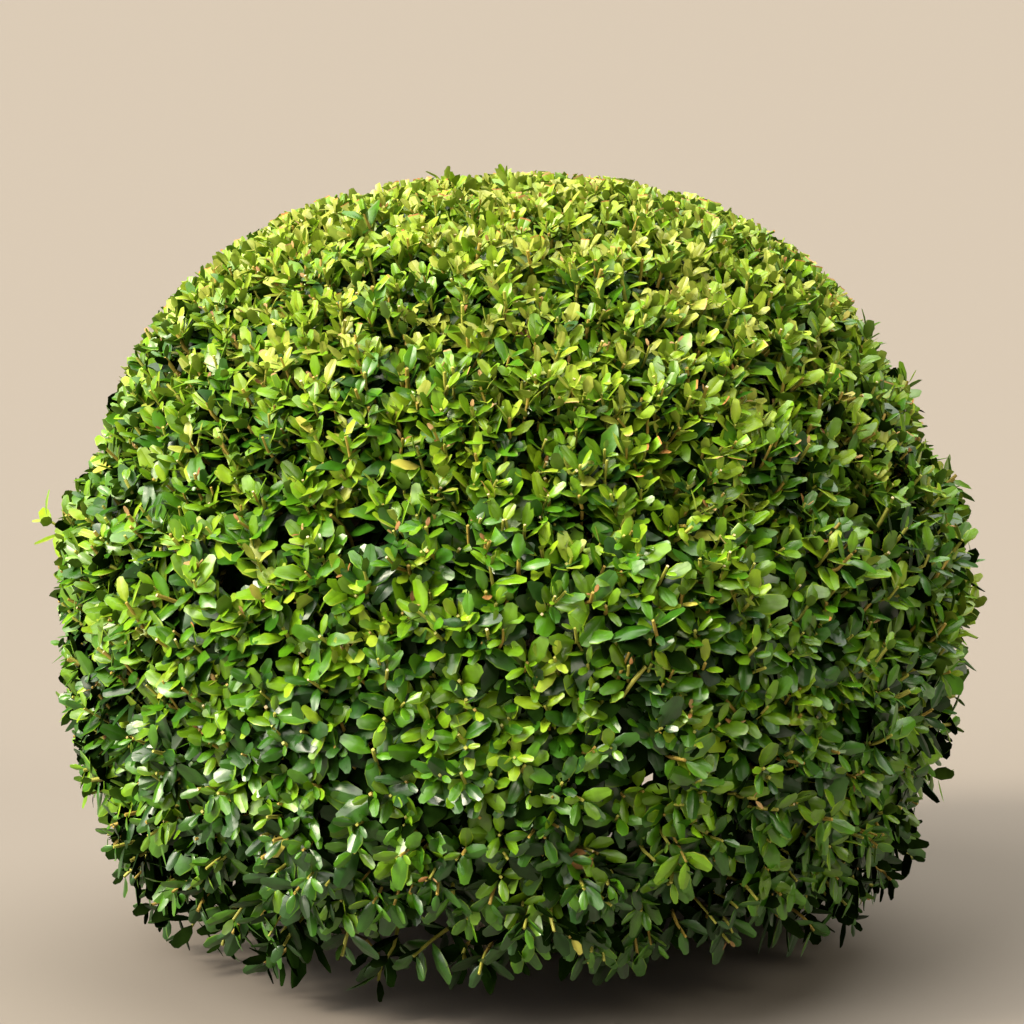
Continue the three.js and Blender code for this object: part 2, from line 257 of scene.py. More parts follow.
def barkMaterial():
    material = bpy.data.materials.new("oldBoxBark")
    material.use_nodes = True
    shader = material.node_tree.nodes["Principled BSDF"]
    shader.inputs["Roughness"].default_value = barkSkin["roughness"]
    place = addNode(material, "ShaderNodeTexCoord").outputs["Object"]
    flakeScale, narrowing = 1 / barkSkin["flakeWidth"], barkSkin["flakeWidth"] / barkSkin["flakeLength"]
    stretched = addNode(material, "ShaderNodeMapping", inputs={"Scale": (1, 1, narrowing)},
                        links={"Vector": place}).outputs["Vector"]
    ragged = addNode(material, "ShaderNodeTexNoise", inputs={"Scale": flakeScale, "Detail": 3.0},
                     links={"Vector": stretched})
    shifted = addNode(material, "ShaderNodeMix", {"data_type": "VECTOR"}, {"Factor": barkSkin["raggedness"]},
                      {"A": stretched, "B": ragged.outputs["Color"]})
    flakes = addNode(material, "ShaderNodeTexVoronoi", {"feature": "DISTANCE_TO_EDGE"},
                     {"Scale": flakeScale}, {"Vector": shifted.outputs["Result"]})
    fissure = addNode(material, "ShaderNodeMapRange", links={"Value": flakes.outputs["Distance"]},
                      inputs={"From Min": 0.0, "From Max": barkSkin["fissureWidth"]})
    tone = addNode(material, "ShaderNodeTexNoise", links={"Vector": stretched},
                   inputs={"Scale": barkSkin["toneScale"], "Detail": 5.0, "Roughness": 0.65})
    tint = addNode(material, "ShaderNodeValToRGB", links={"Fac": tone.outputs["Fac"]})
    for element, (position, toneColour) in zip(tint.color_ramp.elements, barkSkin["tones"]):
        element.position, element.color = position, fromHex(toneColour)
    fissureColour = fromHex(barkSkin["fissureColour"])
    colour = addNode(material, "ShaderNodeMix", {"data_type": "RGBA"}, {"A": fissureColour},
                     {"Factor": fissure.outputs["Result"], "B": tint.outputs["Color"]})
    relief = addNode(material, "ShaderNodeBump", links={"Height": fissure.outputs["Result"]},
                     inputs={"Strength": barkSkin["fissureStrength"], "Distance": barkSkin["fissureDepth"]})
    material.node_tree.links.new(colour.outputs["Result"], shader.inputs["Base Color"])
    material.node_tree.links.new(relief.outputs["Normal"], shader.inputs["Normal"])
    return material


# Wood: the trunk, the leader and the boughs, on the same routes as their solids
wood = {
    "trunkHeight": 0.072,
    "trunkBends": ((0, 0, 0), (0, 0, 0.3), (0.0015, -0.001, 0.65), (0.004, -0.002, 1)),    # z in its height
    "trunkFoot": 0.022,
    "trunkTop": 0.014,
    "trunkTaper": 0.6,
    "topRounding": 0.24,       # its top runs into the leader
    "roundedFrom": 0.7,
    "startBelow": 0.004,       # it starts below the ground, where it is then cut
    "cutHeight": 0.0002,
    "flareReach": 0.006,
    "flareFall": 3,
    "rootLobes": 5,
    "lobeMean": 0.4,
    "lobeDepth": 0.6,
    "lobeTurn": 0.8,
    "leaderRoot": 0.011,
    "leaderTip": 0.0055,
    "leaderRun": 0.024,        # it first goes on along the trunk, bows a little half way and ends upright
    "leaderBow": (-0.003, 0.004),
    "leaderRise": 0.026,
    "boughRoot": 0.0068,
    "boughTip": 0.0044,
    "boughCollar": 0.22,       # how much thicker it is where it leaves
    "collarFall": 6,
    "boughSecond": (0.55, 0.62),    # how far outwards and upwards it has gone at its second bend
    "boughEnd": (0.013, 0.004),     # and how far back along its mass's axis, and down, its last bend is
    "boughEndInset": 0.020,    # how far inside the hollow's edge the boughs and the leader end
    "trunkGrain": 0.0015,      # what each is remeshed to
    "leaderGrain": 0.0014,
    "boughGrain": 0.0012,
    "flakeDepth": 0.0007,
    "flakeSize": 0.005,
    "flakeSquash": 0.4,        # flakes are longer than wide
    "flakeNoise": (0.8, 2.0, 3),    # roughness, step between sizes, and sizes
}


# the smooth curve through a few points that the solids follow, sampled evenly enough for a tube
def curveThrough(points, perSpan=8):
    points = [np.array(p, float) for p in points]
    padded = [2 * points[0] - points[1]] + points + [2 * points[-1] - points[-2]]
    sampled = []
    for a, b, c, d in zip(padded, padded[1:], padded[2:], padded[3:]):
        first, middle, last = (max(np.linalg.norm(q - p), 1e-9) ** 0.5 for p, q in ((a, b), (b, c), (c, d)))
        leave = ((b - a) / first - (c - a) / (first + middle) + (c - b) / middle) * middle
        arrive = ((c - b) / middle - (d - b) / (middle + last) + (d - c) / last) * middle
        for i in range(perSpan):
            t = i / perSpan
            sampled.append((2 * t**3 - 3 * t**2 + 1) * b + (t**3 - 2 * t**2 + t) * leave
                           + (3 * t**2 - 2 * t**3) * c + (t**3 - t**2) * arrive)
    return np.array(sampled + [points[-1]])


def shareAlong(route):
    steps = np.linalg.norm(np.diff(route, axis=0), axis=1)
    return np.concatenate(([0], np.cumsum(steps))) / steps.sum()


def pointAtHeight(route, height):
    return np.array([np.interp(height, route[:, 2], route[:, i]) for i in range(3)])


trunkRoute = curveThrough([(x, y, share * wood["trunkHeight"]) for x, y, share in wood["trunkBends"]])
trunkTopRun = unit(trunkRoute[-1] - trunkRoute[-2])
leaderEnd = centre + up * (hollowRadius - wood["boughEndInset"])
leaderRoute = curveThrough([trunkRoute[-1], trunkRoute[-1] + wood["leaderRun"] * trunkTopRun,
                            (*wood["leaderBow"], (wood["trunkHeight"] + leaderEnd[2]) / 2),
                            leaderEnd - wood["leaderRise"] * up, leaderEnd])


def boughRoute(parentRoute, rootHeight, axis, ring):
    root = pointAtHeight(parentRoute, rootHeight)
    end = centre + axis * (hollowRadius - wood["boughEndInset"])
    outward = unit(axis * (1, 1, 0))
    rise, reach = end[2] - root[2], np.hypot(end[0] - root[0], end[1] - root[1])
    first, second = (root + outward * out * reach + up * high * rise
                     for out, high in ((ring["outFirst"], ring["upFirst"]), wood["boughSecond"]))
    back, down = wood["boughEnd"]
    return curveThrough([root, first, second, end - back * axis - down * up, end])


def deselectAll():
    bpy.ops.object.select_all(action="DESELECT")


def dress(piece, nodes):
    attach(piece, "root")
    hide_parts(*nodes)


# a limb is drawn as a path with a round bevel, made a mesh, remeshed evenly and given its bark's relief
def makeLimb(name, node, route, radii, grain):
    deselectAll()
    bpy.ops.curve.primitive_nurbs_path_add(location=(0, 0, 0))
    limb = bpy.context.object
    limb.name = name
    limb.data.splines.clear()
    spline = limb.data.splines.new("POLY")
    spline.points.add(len(route) - 1)
    for point, place, radius in zip(spline.points, route, radii):
        point.co = (*place, 1)
        point.radius = radius
    limb.data.bevel_depth = 1
    limb.data.bevel_resolution = 4    # the remesh then evens its sides out
    limb.data.use_fill_caps = True
    bpy.ops.object.convert(target="MESH")
    limb = bpy.context.object
    remesh = limb.modifiers.new("even", "REMESH")
    remesh.mode = "VOXEL"
    remesh.voxel_size = grain
    bpy.ops.object.modifier_apply(modifier=remesh.name)
    if node == "trunk":
        flareTrunk(limb)
    raiseBark(limb)
    if node == "trunk":
        cutAtGround()
    bpy.ops.object.shade_smooth()
    limb.data.materials.clear()
    limb.data.materials.append(bark)
    dress(limb, [node])


def flareTrunk(limb):
    for vertex in limb.data.vertices:
        x, y, z = vertex.co
        left = max(0.0, 1 - z / wood["trunkHeight"]) ** wood["flareFall"]
        angle = math.atan2(y, x)
        reach = math.hypot(x, y)
        if reach > 1e-6:    # a point on the axis stays where it is
            wave = math.cos(wood["rootLobes"] * angle + wood["lobeTurn"])
            lobe = wood["lobeMean"] + wood["lobeDepth"] * wave
            push = 1 + left * wood["flareReach"] * lobe / wood["trunkFoot"]
            vertex.co.x, vertex.co.y = x * push, y * push


def raiseBark(limb):
    normals = [vertex.normal.copy() for vertex in limb.data.vertices]
    for vertex, normal in zip(limb.data.vertices, normals):
        place = Vector((vertex.co.x, vertex.co.y, wood["flakeSquash"] * vertex.co.z)) / wood["flakeSize"]
        vertex.co += normal * wood["flakeDepth"] * noise.fractal(place, *wood["flakeNoise"])


def cutAtGround():
    bpy.ops.object.mode_set(mode="EDIT")
    bpy.ops.mesh.select_all(action="SELECT")
    atGround = (0, 0, wood["cutHeight"])
    bpy.ops.mesh.bisect(plane_co=atGround, plane_no=(0, 0, 1), use_fill=True, clear_inner=True)
    bpy.ops.object.mode_set(mode="OBJECT")


bark = barkMaterial()
trunkWhole = np.vstack((trunkRoute[0] - wood["startBelow"] * up, trunkRoute))
trunkShare = np.concatenate(([0], shareAlong(trunkRoute)))
trunkRadii = mix(wood["trunkFoot"], wood["trunkTop"], trunkShare ** wood["trunkTaper"])
trunkRadii = trunkRadii * (1 - wood["topRounding"] * smoothStep(wood["roundedFrom"], 1, trunkShare))
makeLimb("trunkWood", "trunk", trunkWhole, trunkRadii, wood["trunkGrain"])
leaderRadii = mix(wood["leaderRoot"], wood["leaderTip"], shareAlong(leaderRoute))
makeLimb("leaderWood", "leader", leaderRoute, leaderRadii, wood["leaderGrain"])
for prefix, ring, parentRoute in (("upper", upperRing, leaderRoute), ("lower", lowerRing, trunkRoute)):
    for i in range(ring["count"]):
        # every other bough leaves low, and those between them higher up
        step = ((i % 2) * (ring["count"] / 2) + i // 2) / (ring["count"] - 1)
        route = boughRoute(parentRoute, mix(ring["rootFrom"], ring["rootTo"], step), ringAxis(ring, i), ring)
        share = shareAlong(route)
        collar = 1 + wood["boughCollar"] * (1 - share) ** wood["collarFall"]
        radii = mix(wood["boughRoot"], wood["boughTip"], share) * collar
        makeLimb(f"{prefix}BoughWood{i + 1}", f"{prefix}_bough_{i + 1}", route, radii, wood["boughGrain"])
print("wood made")

# Growth: each mass's stem runs on from its bough to its heart, branches run from the heart to the twig
# tips that the solids have, and fine shoots leave the branches for their own places in the surface
growth = {
    "seed": 20,
    "branchCount": 152,        # the solids' own twigs, over the whole sphere of directions
    "branchShift": 0.05,
    "branchTipBelow": 0.017,
    "branchTipSpread": 0.008,
    "lowestBranchTip": 0.8,    # above the ground, in branchTipBelow
    "foliageDepth": 0.034,
    "heart": 1.28,             # where a mass's branches part, in hollow radii from the centre
    "branchBend": 1.3,         # a branch turns up this many foliage depths before its tip
    "branchLift": (0.55, -0.05),    # by this much, and by this much at the foot of the ball
    "liftChange": (-0.1, -0.75),    # heights of a direction between which that changes
    "branchRadii": (0.0026, 0.0012),
    "shootCount": 7000,        # over the whole sphere, which sets them 10 to 12 mm apart
    "shootShift": 0.33,        # share of their spacing
    "lowestWay": -0.9,
    "tipSpread": 0.0035,
    "leastBelow": 0.001,
    "clumpSize": 0.032,        # shoots stand proud or lie low together, over clumps of this size
    "clumpDepth": 0.0125,
    "leafOverhang": 0.001,     # a leaf's tip may stand this far past the clipped surface
    "strayReach": (0.003, 0.009),    # how far the leaves of a shoot that has grown on stand past it
    "strayLeafReach": 0.007,   # and how far past the end of that shoot
    "looseSide": (0, -7),      # azimuth and elevation of the side where the crown is looser
    "looseFrom": (0.80, 0.96),    # cosines of the angle to it where that starts and where it is full
    "looseStrays": 0.24,       # there more shoots have grown on, fewer stand and their leaves are larger
    "looseGaps": 0.38,
    "looseLeaves": 0.22,
    "looseBacklit": 0.18,       # and on more of them the leaves are painted paler, as painted light shining through them
    "openSide": (-7, -20),     # the same for a patch that light comes through
    "openFrom": (0.92, 0.98),
    "openGaps": 0.25,
    "leaveAt": 0.84,           # where along its branch a shoot leaves, less leaveFall for each radian apart
    "leaveFall": 1.5,
    "leaveSpread": 0.05,
    "leaveRange": (0.3, 0.9),
    "aimSpread": 0.22,
    "bendShare": 0.6,          # a shoot bends this share of its reach before its tip, and bendMost at most
    "bendMost": 0.045,
    "bendLength": 1.15,        # and so is this much longer than its reach
    "nodesAt": (0.0008, 0.0062, 0.0132, 0.0215, 0.0305),    # pairs of leaves, down from a shoot's tip
    "nodeSpread": 0.12,
    "cutStub": (0.0005, 0.0045),    # the bare pale end of a cut shoot stands this far past its last pair
    "shootRadius": 0.0011,
    "lowestTip": 0.018,
}
# lists of five are for the pairs of leaves on a shoot, from its tip to its root
leaf = {
    "lengths": (0.0135, 0.0180, 0.0205, 0.0225, 0.0235),
    "lengthSpread": 0.14,
    "lengthRange": (0.6, 1.2),
    "widthSpread": 0.1,
    "standOff": (30, 40, 50, 58, 64),    # degrees off the shoot
    "standOffSpread": 10,
    "turnSpread": 0.2,
    "faceSpread": 0.16,
    "faceLift": 0.55,          # how far above straight out the light is that they turn to
    "cupSpread": 0.13,
    "droop": (0.13, 0.1),      # mean and spread
    "droopDepth": 1.6,         # how far the tip hangs for it
    # the older pairs deeper in are darker partly with age and partly as painted shade for the gaps between
    # shoots
    "ages": (1.4, 0.7, -0.5, -2.7, -4.5),    # steps in the shades, from the young tip down
    "shadeBySpray": 1.1,       # spread of the shade from shoot to shoot, from leaf to leaf and over clumps
    "shadeByLeaf": 0.5,
    "shadeByClump": 2.2,
    "shadeClump": 0.03,
    # shoots whose leaves are paler: partly young growth, partly painted light shining through them
    "youngAndBacklitShare": 0.05,
    "youngAndBacklitShades": 2.5,
    "kinds": ("fine", "fine", "fine", "plain", "hidden"),
    "kindsAbove": ("fine", "fine", "plain", "hidden", "hidden"),    # where the shoots stand closer, higher up
    "kindsChange": 0.3,
    "thickness": 0.00035,
    "crest": 0.17,             # each half bulges between its rim and the midrib
    "rimFrom": 0.85,           # the rolled rim starts at this share of the half's width
    "rimmedShare": 0.4,        # leaves whose rim is paler, by rimShades
    "rimShades": 2,
    "clearOfGround": 0.007,
    "rimBelow": 0.35,          # the rim hangs lower than the midrib by this share of the width
    "leastOutward": 0.25,      # a flatter leaf is cut as if it ran outwards this much
    "leastLeft": 0.45,         # less than this share of a leaf doesn't stay on
    "wholeFrom": 0.98,
    "tanRims": 0.5,            # share of the dry rims that are tan, and the rest are rusty
    "tanTips": 0.5,            # share of the dry tip pairs that are tan, and the rest are brown
    "dryLength": 0.4,          # a dry pair has shrunk to this
    "yellowShare": 0.003,
    "brownShare": 0.0006,
}
# how the growth changes from the foot of the ball to its top, by the height of a direction from the centre
zones = {
    "height": (-0.85, -0.66, -0.54, -0.40, -0.10, 0.12, 0.32, 0.75, 1.0),
    "shootShare": (0.02, 0.12, 0.42, 0.57, 0.62, 0.66, 0.70, 0.92, 1.0),
    "strayShare": (0.05, 0.06, 0.07, 0.07, 0.06, 0.04, 0.025, 0.01, 0.02),    # shoots grown past the surface
    "cutShare": (0.0, 0.05, 0.08, 0.12, 0.25, 0.32, 0.38, 0.50, 0.55),    # shoots cut off above a pair
    "deadShare": (0.0, 0.02, 0.03, 0.04, 0.05, 0.07, 0.10, 0.14, 0.14),    # those whose tip pair is dry
    "grownShare": (1.0, 1.0, 1.0, 1.0, 0.97, 0.93, 0.80, 0.45, 0.40),    # those whose leaves weren't cut
    "tipBelow": (0.018, 0.011, 0.009, 0.009, 0.009, 0.009, 0.008, 0.008, 0.005),
    "shootLift": (-0.35, -0.20, -0.05, 0.20, 0.80, 1.0, 1.20, 0.9, 0.6),    # a turn up from straight out
    "leafLift": (-0.60, -0.55, -0.48, -0.30, -0.05, 0.02, 0.10, 0.10, 0.05),    # below 0 they hang
    "leafSize": (1.0, 1.0, 1.02, 1.02, 0.99, 0.94, 0.87, 0.68, 0.62),
    "leafWidth": (0.44, 0.45, 0.46, 0.47, 0.49, 0.51, 0.52, 0.54, 0.56),
    "nodeSpacing": (1.0, 1.0, 1.0, 1.0, 1.0, 1.0, 0.95, 0.78, 0.74),
    "standOffMore": (14, 14, 14, 14, 8, 5, 2, -4, -6),
    "facingLight": (0.5, 0.5, 0.5, 0.45, 0.30, 0.20, 0.14, 0.10, 0.10),
    "leafCup": (-0.26, -0.26, -0.25, -0.24, -0.16, -0.08, 0.0, 0.18, 0.25),    # below 0 the rims roll down
    # leaves are darker towards the foot of the ball and paler towards the top: partly old growth below and
    # young growth above, partly painted shade low on the ball
    "leafShade": (0.3, 0.9, 1.9, 2.5, 3.4, 3.9, 4.6, 6.4, 7.5),
    # the lightest shade a leaf may take there: low on the ball this keeps every leaf dark, as painted shade
    "shadeLimit": (1.5, 2.8, 4.2, 5.5, 7.0, 8.0, 9.0, 9.0, 9.0),
    "dryTips": (0.0, 0.0, 0.0, 0.0, 0.03, 0.08, 0.16, 0.6, 0.75),    # cut leaves that dried at the cut
}
# four long shoots that the solids have too, and then five low at the sides that they don't have, by azimuth,
# elevation and how far their leaves reach past the clipped surface
longShoots = ((181, 9, 0.016), (184, -41, 0.012), (-2, 4, 0.007), (1, 28, 0.009),
              (-3, -34, 0.014), (2, -39, 0.012), (-7, -37, 0.009), (178, -32, 0.010), (187, -36, 0.009))
chance = np.random.default_rng(growth["seed"])
hearts = centre + massAxes * growth["heart"] * hollowRadius


def byZone(directions, key):
    return np.interp(directions[:, 2], zones["height"], zones[key])


def clumpNoise(directions, size):
    return np.array([noise.noise(Vector(way) * ball["bellyWidth"] / 2 / size) for way in directions])


def branchLean(directions):
    low = smoothStep(*growth["liftChange"], directions[..., 2:])
    return unit(directions + up * mix(*growth["branchLift"], low))


# the solids' own twig tips, from the same lattice and the same stream of numbers
def branchTips():
    stream = seededStream(growth["seed"])
    tips, ends = [], []
    for direction in evenDirections(growth["branchCount"]):
        shift = np.array([next(stream) for _ in range(3)])
        direction = unit(direction + growth["branchShift"] * (shift - 0.5))
        next(stream)           # the solids draw a twig's turn here
        below = growth["branchTipBelow"] + growth["branchTipSpread"] * (next(stream) - 0.5)
        end = surfacePoint(direction, np.array(below))
        if end[2] > growth["lowestBranchTip"] * growth["branchTipBelow"]:
            tips.append(direction)
            ends.append(end)
    return np.array(tips), np.array(ends)


# a point at a share of the way along a bend with two ends and a middle, and the way that it runs there
def onBend(start, bend, end, share):
    return start * (1 - share) ** 2 + 2 * bend * share * (1 - share) + end * share**2


def runOfBend(start, bend, end, share):
    return unit(2 * (bend - start) * (1 - share) + 2 * (end - bend) * share)


def growBranches():
    ways, ends = branchTips()
    mass = np.argmax(ways @ massAxes.T, axis=1)
    bends = ends - branchLean(ways) * growth["branchBend"] * growth["foliageDepth"]
    return {"way": ways, "mass": mass, "root": hearts[mass], "bend": bends, "end": ends}


# shoots: an even lattice, shifted by about a third of its spacing so that no rows show, thinned by zone
def growShoots():
    ways = evenDirections(growth["shootCount"])
    spacing = math.sqrt(4 * math.pi / growth["shootCount"])
    ways = unit(ways + chance.normal(0, growth["shootShift"] * spacing, ways.shape))
    loose = smoothStep(*growth["looseFrom"], ways @ directionAt(*growth["looseSide"]))
    opened = smoothStep(*growth["openFrom"], ways @ directionAt(*growth["openSide"]))
    left = (1 - growth["looseGaps"] * loose) * (1 - growth["openGaps"] * opened)
    kept = chance.random(len(ways)) < byZone(ways, "shootShare") * left
    kept = kept & (ways[:, 2] > growth["lowestWay"])
    ways, loose = ways[kept], loose[kept]
    below = byZone(ways, "tipBelow") + chance.normal(0, growth["tipSpread"], len(ways))
    below = below + growth["clumpDepth"] * clumpNoise(ways, growth["clumpSize"])
    below = np.maximum(below, growth["leastBelow"])
    stray = chance.random(len(ways)) < byZone(ways, "strayShare") + growth["looseStrays"] * loose
    past = np.where(stray, chance.uniform(*growth["strayReach"], len(ways)), growth["leafOverhang"])
    ways = np.vstack((ways, [directionAt(*place) for *place, reach in longShoots]))
    past = np.append(past, [reach for *place, reach in longShoots])
    stray = np.append(stray, [True] * len(longShoots))
    loose, below = (np.append(values, [0] * len(longShoots)) for values in (loose, below))
    below = np.where(stray, growth["strayLeafReach"] - past, below)
    ends = surfacePoint(ways, below)
    kept = ends[:, 2] > growth["lowestTip"]
    ways, ends, stray, past, loose = (values[kept] for values in (ways, ends, stray, past, loose))
    mass = np.argmax(ways @ massAxes.T, axis=1)

    # each leaves the nearest branch of its own mass, deeper in where that branch is further off
    sameMass = mass[:, None] == branches["mass"][None, :]
    nearness = np.where(sameMass, ways @ branches["way"].T, -np.inf)
    parent = np.argmax(nearness, axis=1)
    apart = np.arccos(np.clip(nearness[np.arange(len(ways)), parent], -1, 1))
    leaveAt = growth["leaveAt"] - growth["leaveFall"] * apart
    leaveAt = leaveAt + chance.normal(0, growth["leaveSpread"], len(apart))
    leaveAt = np.clip(leaveAt, *growth["leaveRange"])[:, None]
    roots = onBend(branches["root"][parent], branches["bend"][parent], branches["end"][parent], leaveAt)
    reach = np.linalg.norm(ends - roots, axis=1, keepdims=True)
    aim = unit(ways + up * byZone(ways, "shootLift")[:, None])
    aim = unit(aim + chance.normal(0, growth["aimSpread"], ways.shape))
    bends = ends - aim * np.minimum(growth["bendShare"] * reach, growth["bendMost"])
    wasCut = (chance.random(len(ways)) < byZone(ways, "cutShare")) & ~stray
    tipDied = (chance.random(len(ways)) < byZone(ways, "deadShare")) & ~stray
    grown = stray | (chance.random(len(ways)) < byZone(ways, "grownShare"))
    stub = np.where(wasCut, chance.uniform(*growth["cutStub"], len(ways)), 0)
    return {"way": ways, "mass": mass, "root": roots, "bend": bends, "end": ends, "reach": reach,
            "grown": grown, "past": past, "wasCut": wasCut, "tipDied": tipDied, "stub": stub,
            "loose": loose, "turn": chance.random(len(ways)) * math.pi}


# leaves in opposite pairs, each pair a quarter turn on from the one before, as one table with a row a leaf
def growLeaves():
    way, count = shoots["way"], len(shoots["way"])
    sprayShade = byZone(way, "leafShade") + chance.normal(0, leaf["shadeBySpray"], count)
    sprayShade += leaf["shadeByClump"] * clumpNoise(way, leaf["shadeClump"])
    # some sprays are paler: partly young growth, partly painted light shining through their leaves, more of
    # it on the loose side
    bright = chance.random(count) < leaf["youngAndBacklitShare"] + growth["looseBacklit"] * shoots["loose"]
    sprayShade += np.where(bright, leaf["youngAndBacklitShades"], 0)
    lightest = np.minimum(byZone(way, "shadeLimit").round(), len(leafShades) - 1)
    larger = 1 + growth["looseLeaves"] * shoots["loose"]
    outward = unit(way + leaf["faceLift"] * up)
    higher = way[:, 2] > leaf["kindsChange"]
    table = {}
    for pair, distance in enumerate(growth["nodesAt"]):
        fromTip = distance * byZone(way, "nodeSpacing") * larger
        fromTip = fromTip * chance.normal(1, growth["nodeSpread"], count) + shoots["stub"]
        share = np.clip(1 - fromTip[:, None] / (growth["bendLength"] * shoots["reach"]), 0, 1)
        place = onBend(shoots["root"], shoots["bend"], shoots["end"], share)
        along = runOfBend(shoots["root"], shoots["bend"], shoots["end"], share)
        level = unit(np.cross(up, along))
        other = np.cross(along, level)
        for half in (0, 1):
            turn = shoots["turn"] + (pair / 2 + half) * math.pi + chance.normal(0, leaf["turnSpread"], count)
            across = level * np.cos(turn)[:, None] + other * np.sin(turn)[:, None]
            standOff = leaf["standOff"][pair] + byZone(way, "standOffMore")
            standOff = np.radians(standOff + chance.normal(0, leaf["standOffSpread"], count))[:, None]
            run = along * np.cos(standOff) + across * np.sin(standOff) + up * byZone(way, "leafLift")[:, None]
            run = unit(run)
            face = along * np.sin(standOff) - across * np.cos(standOff)
            face = face + byZone(way, "facingLight")[:, None] * outward
            face = face + chance.normal(0, leaf["faceSpread"], face.shape)
            face = unit(face - run * rowDot(face, run))
            spread = chance.normal(1, leaf["lengthSpread"], count).clip(*leaf["lengthRange"])
            size = larger * byZone(way, "leafSize") * spread
            length = leaf["lengths"][pair] * size
            shade = np.round(sprayShade + leaf["ages"][pair] + chance.normal(0, leaf["shadeByLeaf"], count))
            shade = np.clip(shade, 0, lightest)
            if pair == 0:
                dryShade = np.where(chance.random(count) < leaf["tanTips"], tanIndex, brownIndex)
                length = np.where(shoots["tipDied"], leaf["dryLength"] * length, length)
                shade = np.where(shoots["tipDied"], dryShade, shade)
            row = {
                "root": place + across * growth["shootRadius"],
                "run": run,
                "face": face,
                "length": length,
                "width": length * byZone(way, "leafWidth") * chance.normal(1, leaf["widthSpread"], count),
                "cup": byZone(way, "leafCup") + chance.normal(0, leaf["cupSpread"], count),
                "droop": chance.normal(*leaf["droop"], count),
                "shade": shade.astype(int),
                "kind": np.where(higher, leaf["kindsAbove"][pair], leaf["kinds"][pair]),
                "rimmed": chance.random(count) < leaf["rimmedShare"],
                "mass": shoots["mass"],
                "grown": shoots["grown"],
                "past": shoots["past"],
                "dryShare": byZone(way, "dryTips"),
            }
            for key, value in row.items():
                table.setdefault(key, []).append(value)
    return {key: np.concatenate(value) for key, value in table.items()}


# the shears: what stands past the clipped surface is cut off, and a leaf that loses over half is dropped. The
# leaves that have grown since are whole, and small at the tip
def shearLeaves(leaves):
    tip = leaves["root"] + leaves["run"] * leaves["length"][:, None]
    reach = tip - centre
    distance = np.linalg.norm(reach, axis=1)
    allowed = surfaceRadius(reach / distance[:, None]) + leaves["past"]
    outward = np.maximum(leaf["leastOutward"], rowDot(leaves["run"], reach / distance[:, None])[:, 0])
    left = 1 - np.maximum(0, distance - allowed) / (outward * leaves["length"])
    lowest = np.minimum(tip[:, 2], leaves["root"][:, 2]) - leaf["rimBelow"] * leaves["width"]
    keep = (left > leaf["leastLeft"]) & (lowest > leaf["clearOfGround"])
    leaves, left = {key: value[keep] for key, value in leaves.items()}, np.minimum(left[keep], 1)
    grown = np.where(leaves["grown"], left, 1)
    leaves["length"], leaves["width"] = leaves["length"] * grown, leaves["width"] * grown
    leaves["cut"] = np.where(leaves["grown"], 1, left)
    whole = leaves["cut"] > leaf["wholeFrom"]
    dried = chance.random(len(left)) < leaves["dryShare"]
    rim = np.where(chance.random(len(left)) < leaf["tanRims"], tanIndex, rustyIndex)
    leaves["rim"] = np.where(dried & ~whole, rim, -1)
    odd = chance.random(len(left))
    leaves["shade"] = np.where(whole & (odd < leaf["yellowShare"]), yellowIndex, leaves["shade"])
    leaves["shade"] = np.where(whole & (odd > 1 - leaf["brownShare"]), brownIndex, leaves["shade"])
    return leaves


# A box leaf's outline: half its width at shares of its length. It is widest past the middle and ends blunt
leafOutline = {
    "along": (0.0, 0.06, 0.25, 0.45, 0.6, 0.75, 0.86, 0.95, 1.0),
    "halfWidth": (0.0, 0.11, 0.375, 0.49, 0.5, 0.42, 0.295, 0.15, 0.03),
}
# rows of points across a leaf, as shares of its length from its left rim to its right rim. The last row is
# its blunt tip, and a cut leaf has that row square
leafRows = {
    "fine": {"whole": ((0.24, 0.22, 0.20, 0.22, 0.24), (0.57,) * 5, (0.84, 0.95, 1.0, 0.95, 0.84)),
             "cut": ((0.33,) * 5, (0.92,) * 5, (1.0,) * 5)},
    "plain": {"whole": ((0.26, 0.22, 0.26), (0.6,) * 3, (0.92, 1.0, 0.92)),
              "cut": ((0.33,) * 3, (0.92,) * 3, (1.0,) * 3)},
    "hidden": {"whole": ((0.47, 0.42, 0.47), (0.9, 1.0, 0.9)), "cut": ((0.47,) * 3, (1.0,) * 3)},
}


